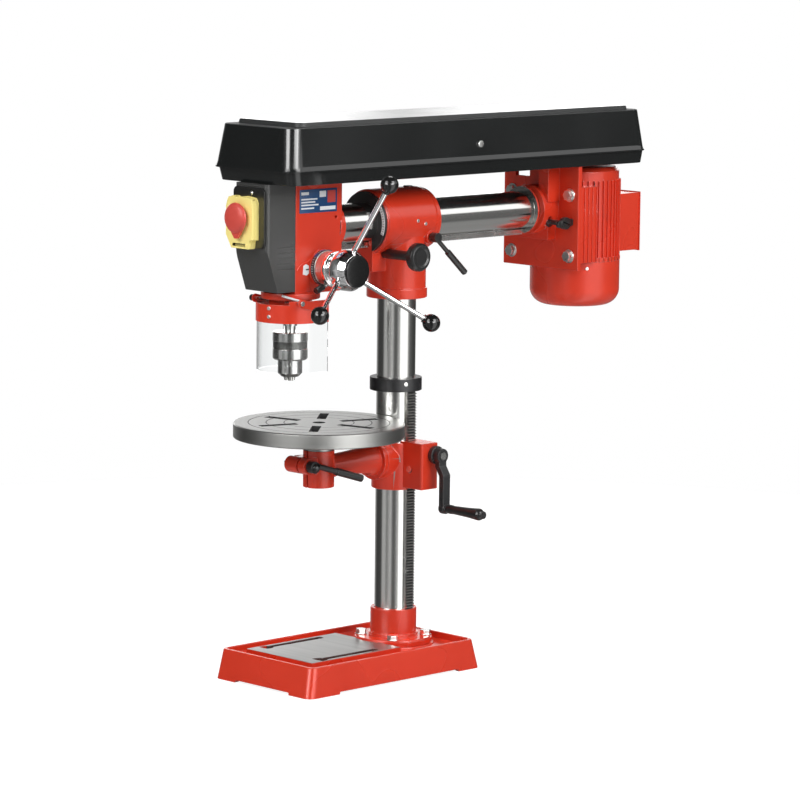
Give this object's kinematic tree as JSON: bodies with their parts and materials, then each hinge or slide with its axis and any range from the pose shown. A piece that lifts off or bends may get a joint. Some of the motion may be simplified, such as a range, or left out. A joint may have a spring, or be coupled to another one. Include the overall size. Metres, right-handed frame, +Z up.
{
  "type": "radial arm drill",
  "caption": "Bench drill with a slotted base, rack column, round tilting table, swivelling turret, sliding tilting ram head and belt-driven spindle under a long cover.",
  "frame": {"origin": "column axis at the bench plane", "axes": "+Z up along the column, +X to the operator's right, -Y towards the drill head, +Y towards the motor"},
  "size_m": [0.288, 0.7793, 0.79],
  "materials": {
    "red_paint": "gloss enamel over casting",
    "motor_red": "gloss enamel over die-cast aluminium",
    "black_paint": "satin black paint",
    "cover_black": "gloss black enamel on sheet",
    "machined_iron": "machined, dull",
    "bright_steel": "ground bright steel",
    "zinc_steel": "zinc plated",
    "chrome": "polished chrome",
    "black_plastic": "moulded, gloss",
    "yellow_plastic": "moulded, semi gloss",
    "red_plastic": "moulded, gloss",
    "green_plastic": "moulded, gloss",
    "blue_plate": "printed aluminium, left plain",
    "clear_plastic": "clear polycarbonate",
    "belt_rubber": "moulded rubber"
  },
  "bodies": {
    "stand": {"base": "red_paint", "column_flange": "red_paint", "flange_bolts": "zinc_steel", "column": "bright_steel", "rack_collar": "black_paint"},
    "rack": {"column_rack": "bright_steel"},
    "bracket": {"table_bracket": "red_paint"},
    "bracket_lock": {"bracket_lock": "black_paint"},
    "lift_gear": {"lift_pinion": "bright_steel"},
    "crank": {"lift_worm": "bright_steel", "crank": "black_paint"},
    "crank_grip": {"crank_grip": "black_plastic"},
    "arm": {"table_arm": "red_paint", "tilt_bolt": "zinc_steel"},
    "table": {"table": "machined_iron"},
    "table_clamp": {"table_clamp": "black_paint"},
    "turret": {"turret": "red_paint", "tilt_scale": "black_paint"},
    "turret_lock": {"turret_lock": "black_paint"},
    "ram_drive": {"ram_pinion": "bright_steel", "ram_knob": "black_plastic"},
    "ram_lock": {"ram_lock": "black_paint"},
    "ram_slide": {"ram_rack": "bright_steel"},
    "head": {"ram_tube": "bright_steel", "head": "red_paint", "head_plates": "blue_plate", "front_cover": "black_plastic", "switch_base": "yellow_plastic", "return_spring": "black_paint", "guard_pin": "bright_steel", "cover_pan": "cover_black", "drive_belt": "belt_rubber"},
    "flap": {"switch_flap": "yellow_plastic"},
    "stop_knob": {"stop_knob": "red_plastic"},
    "stop_button": {"stop_button": "red_plastic"},
    "start_button": {"start_button": "green_plastic"},
    "quill": {"quill": "bright_steel", "quill_bearings": "bright_steel"},
    "feed": {"feed_shaft": "bright_steel", "feed_hub": "chrome", "feed_cap": "black_plastic", "feed_spokes": "chrome", "feed_knobs": "black_plastic"},
    "depth": {"depth_ring": "black_paint", "depth_lock": "bright_steel"},
    "spindle": {"spindle": "bright_steel", "chuck_body": "chrome"},
    "chuck_sleeve": {"chuck_sleeve": "chrome"},
    "jaw_1": {"chuck_jaw_1": "bright_steel"},
    "jaw_2": {"chuck_jaw_2": "bright_steel"},
    "jaw_3": {"chuck_jaw_3": "bright_steel"},
    "pulley": {"spindle_pulley": "bright_steel"},
    "guard": {"guard_band": "red_paint", "guard_shield": "clear_plastic"},
    "lid": {"cover_lid": "cover_black"},
    "motor": {"motor_mount": "red_paint", "motor_bolts": "zinc_steel", "motor_frame": "motor_red", "motor_cap": "motor_red"},
    "rotor": {"motor_rotor": "bright_steel"}
  },
  "joints": [
    {"name": "table_swing", "type": "hinge", "parent": "stand", "child": "rack", "pos_m": [0, 0, 0.3], "axis": [0, 0, 1], "range_deg": [-180, 180]},
    {"name": "table_lift", "type": "slide", "parent": "rack", "child": "bracket", "axis": [0, 0, -1], "range_m": [-0.03, 0.17]},
    {"name": "lift_gear_turn", "type": "hinge", "parent": "bracket", "child": "lift_gear", "pos_m": [0.0428, 0, 0.289], "axis": [0, 1, 0], "range_deg": [-250, 1100]},
    {"name": "crank_turn", "type": "hinge", "parent": "bracket", "child": "crank", "pos_m": [0.077, 0.0112, 0.311], "axis": [1, 0, 0], "range_deg": [-1000, 5400]},
    {"name": "crank_grip_turn", "type": "hinge", "parent": "crank", "child": "crank_grip", "pos_m": [0.13, 0.0112, 0.237], "axis": [1, 0, 0], "continuous": true},
    {"name": "bracket_lock_turn", "type": "hinge", "parent": "bracket", "child": "bracket_lock", "pos_m": [-0.04, 0, 0.29], "axis": [1, 0, 0], "range_deg": [-30, 60]},
    {"name": "table_tilt", "type": "hinge", "parent": "bracket", "child": "arm", "pos_m": [0, -0.04, 0.301], "axis": [0, 1, 0], "range_deg": [-45, 45]},
    {"name": "table_turn", "type": "hinge", "parent": "arm", "child": "table", "pos_m": [0, -0.1485, 0.35], "axis": [0, 0, 1], "continuous": true},
    {"name": "table_clamp_turn", "type": "hinge", "parent": "arm", "child": "table_clamp", "pos_m": [0, -0.179, 0.3065], "axis": [1, 0, 0], "range_deg": [-60, 25]},
    {"name": "turret_swing", "type": "hinge", "parent": "stand", "child": "turret", "pos_m": [0, 0, 0.57], "axis": [0, 0, 1], "range_deg": [-180, 180]},
    {"name": "turret_lock_turn", "type": "hinge", "parent": "turret", "child": "turret_lock", "pos_m": [-0.047, 0.01, 0.547], "axis": [1, 0, 0], "range_deg": [-30, 45]},
    {"name": "ram_drive_turn", "type": "hinge", "parent": "turret", "child": "ram_drive", "pos_m": [0, -0.04, 0.596], "axis": [1, 0, 0], "range_deg": [-260, 1100]},
    {"name": "ram_lock_turn", "type": "hinge", "parent": "turret", "child": "ram_lock", "pos_m": [0.046, 0.024, 0.6173], "axis": [-1, 0, 0], "range_deg": [-30, 40]},
    {"name": "ram_travel", "type": "slide", "parent": "turret", "child": "ram_slide", "axis": [0, -1, 0], "range_m": [-0.045, 0.19]},
    {"name": "head_tilt", "type": "hinge", "parent": "ram_slide", "child": "head", "pos_m": [0, 0, 0.6403], "axis": [0, 1, 0], "range_deg": [-90, 45]},
    {"name": "switch_flap_open", "type": "hinge", "parent": "head", "child": "flap", "pos_m": [-0.007, -0.2878, 0.6858], "axis": [-1, 0, 0], "range_deg": [0, 90]},
    {"name": "stop_knob_press", "type": "slide", "parent": "flap", "child": "stop_knob", "axis": [0, 1, 0], "range_m": [0, 0.0025], "stiffness_N_per_m": 600, "springref_m": -0.002},
    {"name": "stop_button_press", "type": "slide", "parent": "head", "child": "stop_button", "axis": [0, 1, 0], "range_m": [0, 0.0025], "stiffness_N_per_m": 300, "springref_m": -0.002},
    {"name": "start_button_press", "type": "slide", "parent": "head", "child": "start_button", "axis": [0, 1, 0], "range_m": [0, 0.003], "stiffness_N_per_m": 300, "springref_m": -0.002},
    {"name": "quill_feed", "type": "slide", "parent": "head", "child": "quill", "axis": [0, 0, -1], "range_m": [0, 0.06], "stiffness_N_per_m": 400, "springref_m": -0.08},
    {"name": "feed_turn", "type": "hinge", "parent": "head", "child": "feed", "pos_m": [0, -0.176, 0.5865], "axis": [1, 0, 0], "range_deg": [-5, 310]},
    {"name": "depth_ring_turn", "type": "hinge", "parent": "feed", "child": "depth", "pos_m": [0.045, -0.176, 0.5865], "axis": [1, 0, 0], "range_deg": [-300, 0]},
    {"name": "spindle_turn", "type": "hinge", "parent": "quill", "child": "spindle", "pos_m": [0, -0.2042, 0.58], "axis": [0, 0, 1], "continuous": true},
    {"name": "chuck_sleeve_turn", "type": "hinge", "parent": "spindle", "child": "chuck_sleeve", "pos_m": [0, -0.2042, 0.48], "axis": [0, 0, 1], "range_deg": [0, 3600]},
    {"name": "pulley_turn", "type": "hinge", "parent": "head", "child": "pulley", "pos_m": [0, -0.2042, 0.73], "axis": [0, 0, 1], "continuous": true},
    {"name": "guard_swing", "type": "hinge", "parent": "head", "child": "guard", "pos_m": [0, -0.227, 0.541], "axis": [-1, 0, 0], "range_deg": [0, 35]},
    {"name": "lid_open", "type": "hinge", "parent": "head", "child": "lid", "pos_m": [-0.0872, 0, 0.7237], "axis": [0, -1, 0], "range_deg": [0, 95]},
    {"name": "motor_slide", "type": "slide", "parent": "head", "child": "motor", "axis": [0, 1, 0], "range_m": [-0.008, 0]},
    {"name": "rotor_turn", "type": "hinge", "parent": "motor", "child": "rotor", "pos_m": [0, 0.3663, 0.62], "axis": [0, 0, 1], "continuous": true},
    {"name": "jaw_1_travel", "type": "slide", "parent": "spindle", "child": "jaw_1", "axis": [0, 0.2588, 0.9659], "range_m": [0, 0.0181]},
    {"name": "jaw_2_travel", "type": "slide", "parent": "spindle", "child": "jaw_2", "axis": [-0.2241, -0.1294, 0.9659], "range_m": [0, 0.0181]},
    {"name": "jaw_3_travel", "type": "slide", "parent": "spindle", "child": "jaw_3", "axis": [0.2241, -0.1294, 0.9659], "range_m": [0, 0.0181]}
  ],
  "couplings": [
    {"joint": "lift_gear_turn", "follows": "table_lift", "rad_per_m": 109.89},
    {"joint": "crank_turn", "follows": "table_lift", "rad_per_m": 549.45},
    {"joint": "ram_drive_turn", "follows": "ram_travel", "rad_per_m": 95.238},
    {"joint": "feed_turn", "follows": "quill_feed", "rad_per_m": 88.889},
    {"joint": "stop_button_press", "follows": "stop_knob_press", "ratio": 1},
    {"joint": "pulley_turn", "follows": "spindle_turn", "ratio": 1},
    {"joint": "rotor_turn", "follows": "spindle_turn", "ratio": 1},
    {"joint": "jaw_1_travel", "follows": "chuck_sleeve_turn", "m_per_rad": 0.00028648},
    {"joint": "jaw_2_travel", "follows": "chuck_sleeve_turn", "m_per_rad": 0.00028648},
    {"joint": "jaw_3_travel", "follows": "chuck_sleeve_turn", "m_per_rad": 0.00028648}
  ]
}
